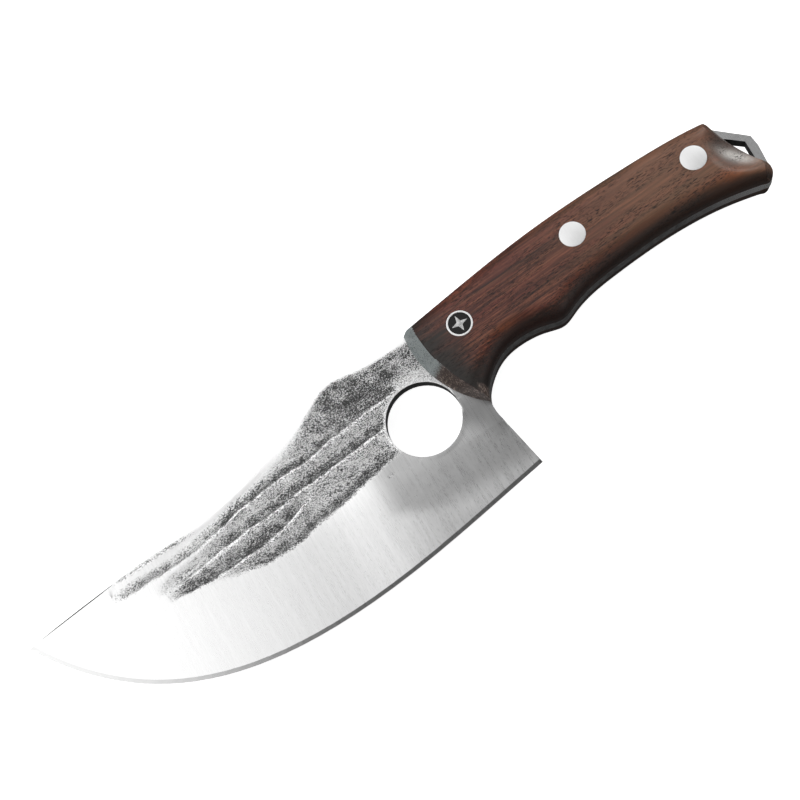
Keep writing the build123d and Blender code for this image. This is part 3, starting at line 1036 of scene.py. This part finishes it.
def make_scales(material):
    """Both wooden scales: the right one is the left one mirrored."""
    grid, wall_count = scale_columns(ScaleShape())
    cutter = bore_cutter()
    solid = bored(scale_mesh("left_wood", grid, wall_count), cutter)
    bpy.data.objects.remove(cutter)
    paint_wood(solid)
    mirrored = solid.copy()
    mirrored.transform(Matrix.Diagonal((1, 1, -1, 1)))
    mirrored.flip_normals()
    for name, mesh in (("left", solid), ("right", mirrored)):
        smooth_shading(mesh, wood_crease)
        new_piece(name + "_wood_scale", mesh, material, "scale_wood", name + "_scale")


# ---------------------------------------------------------------- metal trim
def dress(name, material, round_width):
    """Gives a CAD node its finish, and softens its edges by round_width."""
    node = nodes[name]
    node.data.materials.clear()
    node.data.materials.append(material)
    if round_width:
        weld = node.modifiers.new("weld", "WELD")
        weld.merge_threshold = mesh_weld * MM
        soften = node.modifiers.new("soften", "BEVEL")
        soften.width = round_width * MM
        soften.segments = 3
        soften.limit_method = "ANGLE"
        soften.angle_limit = radians(50)
        soften.harden_normals = True
    node.data.shade_smooth()
    node.data.set_sharp_from_angle(angle=radians(steel_crease))


# ---------------------------------------------------------------- stage, light and camera
def sweep_profile():
    """Radius and height of each ring: flat floor, quarter turn upwards, and quarter turn back in."""
    flat, far = 900, 1900
    flat_rings, turn_rings = 6, 12
    profile = [(flat * k / flat_rings, 0) for k in range(1, flat_rings + 1)]
    for k in range(1, turn_rings + 1):
        angle = pi / 2 * k / turn_rings
        profile.append((flat + (far - flat) * sin(angle), (far - flat) * (1 - cos(angle))))
    for k in range(1, turn_rings):
        angle = pi / 2 * k / turn_rings
        profile.append((far * cos(angle), (far - flat) + far * sin(angle)))
    return profile


def make_stage():
    """Floor that sweeps up into a dome round the camera; the object neither sees nor reflects it."""
    bm = bmesh.new()
    middle = Vector((0, 0, 0))
    floor = cad_low.z / MM
    rings = [ring(bm, middle, radius, height + floor, 64) for radius, height in sweep_profile()]
    join_rings(bm, rings[::-1])
    mesh = bpy.data.meshes.new("sweep")
    bm.to_mesh(mesh)
    bm.free()
    mesh.shade_smooth()
    mesh.materials.append(floor_material())
    sweep = placed("sweep", mesh)
    sweep.visible_diffuse = False
    sweep.visible_glossy = False
    sweep.visible_transmission = False
    sweep.visible_shadow = False


def make_light():
    """Soft lamps far away, as lobes of the world, with a faint sky and a brighter horizon band."""
    lamps = [  # direction, inner and outer angle in degrees, strength
        ((-0.62, 0.22, 0.75), 16, 46, 1.95),
        ((0.25, 0.62, 0.74), 18, 34, 0.75),
        ((0.75, 0.55, 0.36), 10, 30, 2.4),
        ((0.66, -0.68, 0.3), 8, 40, 0.45),
    ]
    world = bpy.data.worlds.new("studio")
    bpy.context.scene.world = world
    world.use_nodes = True
    made = Recipe(world.node_tree)
    background = world.node_tree.nodes["Background"]
    coordinates = world.node_tree.nodes.new("ShaderNodeTexCoord")
    direction = coordinates.outputs["Generated"]
    upward = made.add("SeparateXYZ", {0: direction}, 2)
    sky = made.step(upward, -0.2, 1.0, 0.09, 0.13)
    band_bottom = made.step(upward, 0.0, 0.15, 0.0, 0.25)
    band_top = made.step(upward, 0.3, 0.6, 1.0, 0.0)
    total = made.plus(sky, made.times(band_bottom, band_top))
    for aim, inner, outer, strength in lamps:
        unit = Vector(aim).normalized()
        towards = made.add("VectorMath", {0: direction, 1: unit}, 1, operation="DOT_PRODUCT")
        lobe = made.step(towards, cos(radians(outer)), cos(radians(inner)), 0.0, strength)
        total = made.plus(total, lobe)
    made.feed(background.inputs["Color"], total)
    background.inputs["Strength"].default_value = 1.0


def make_camera():
    """Camera high over the belly side, aimed by its own right and up directions."""
    camera = bpy.data.cameras.new("camera")
    camera.lens = 67.5
    camera.sensor_width = 36
    holder = placed("camera", camera)
    right = Vector((0.8456, -0.5081, -0.1639))
    up = Vector((0.5337, 0.7977, 0.2809))
    back = right.cross(up).normalized()
    up = back.cross(right).normalized()
    turn = Matrix((right.normalized(), up, back)).transposed().to_4x4()
    place = Vector((-8.6, -141.6, 441.4))
    holder.matrix_world = Matrix.Translation(place * MM) @ turn
    camera.clip_start = 0.01
    camera.clip_end = 20
    bpy.context.scene.camera = holder


# ---------------------------------------------------------------- everything together
make_camera()
make_light()
make_stage()
bpy.context.scene.view_settings.view_transform = "Standard"

make_steel(steel_material())
make_scales(wood_material())
rivet_metal = rivet_material()
for rivet in ("front", "middle", "rear"):
    dress(rivet + "_rivet_sleeve", rivet_metal, rivet_round)
    dress(rivet + "_rivet_stud", rivet_metal, rivet_round)
dress("badge_disc", badge_material(), badge_round)
dress("badge_enamel", enamel_material(), 0)
epoxy = epoxy_material()
for side in ("left", "right"):
    dress(side + "_glue_film", epoxy, 0)
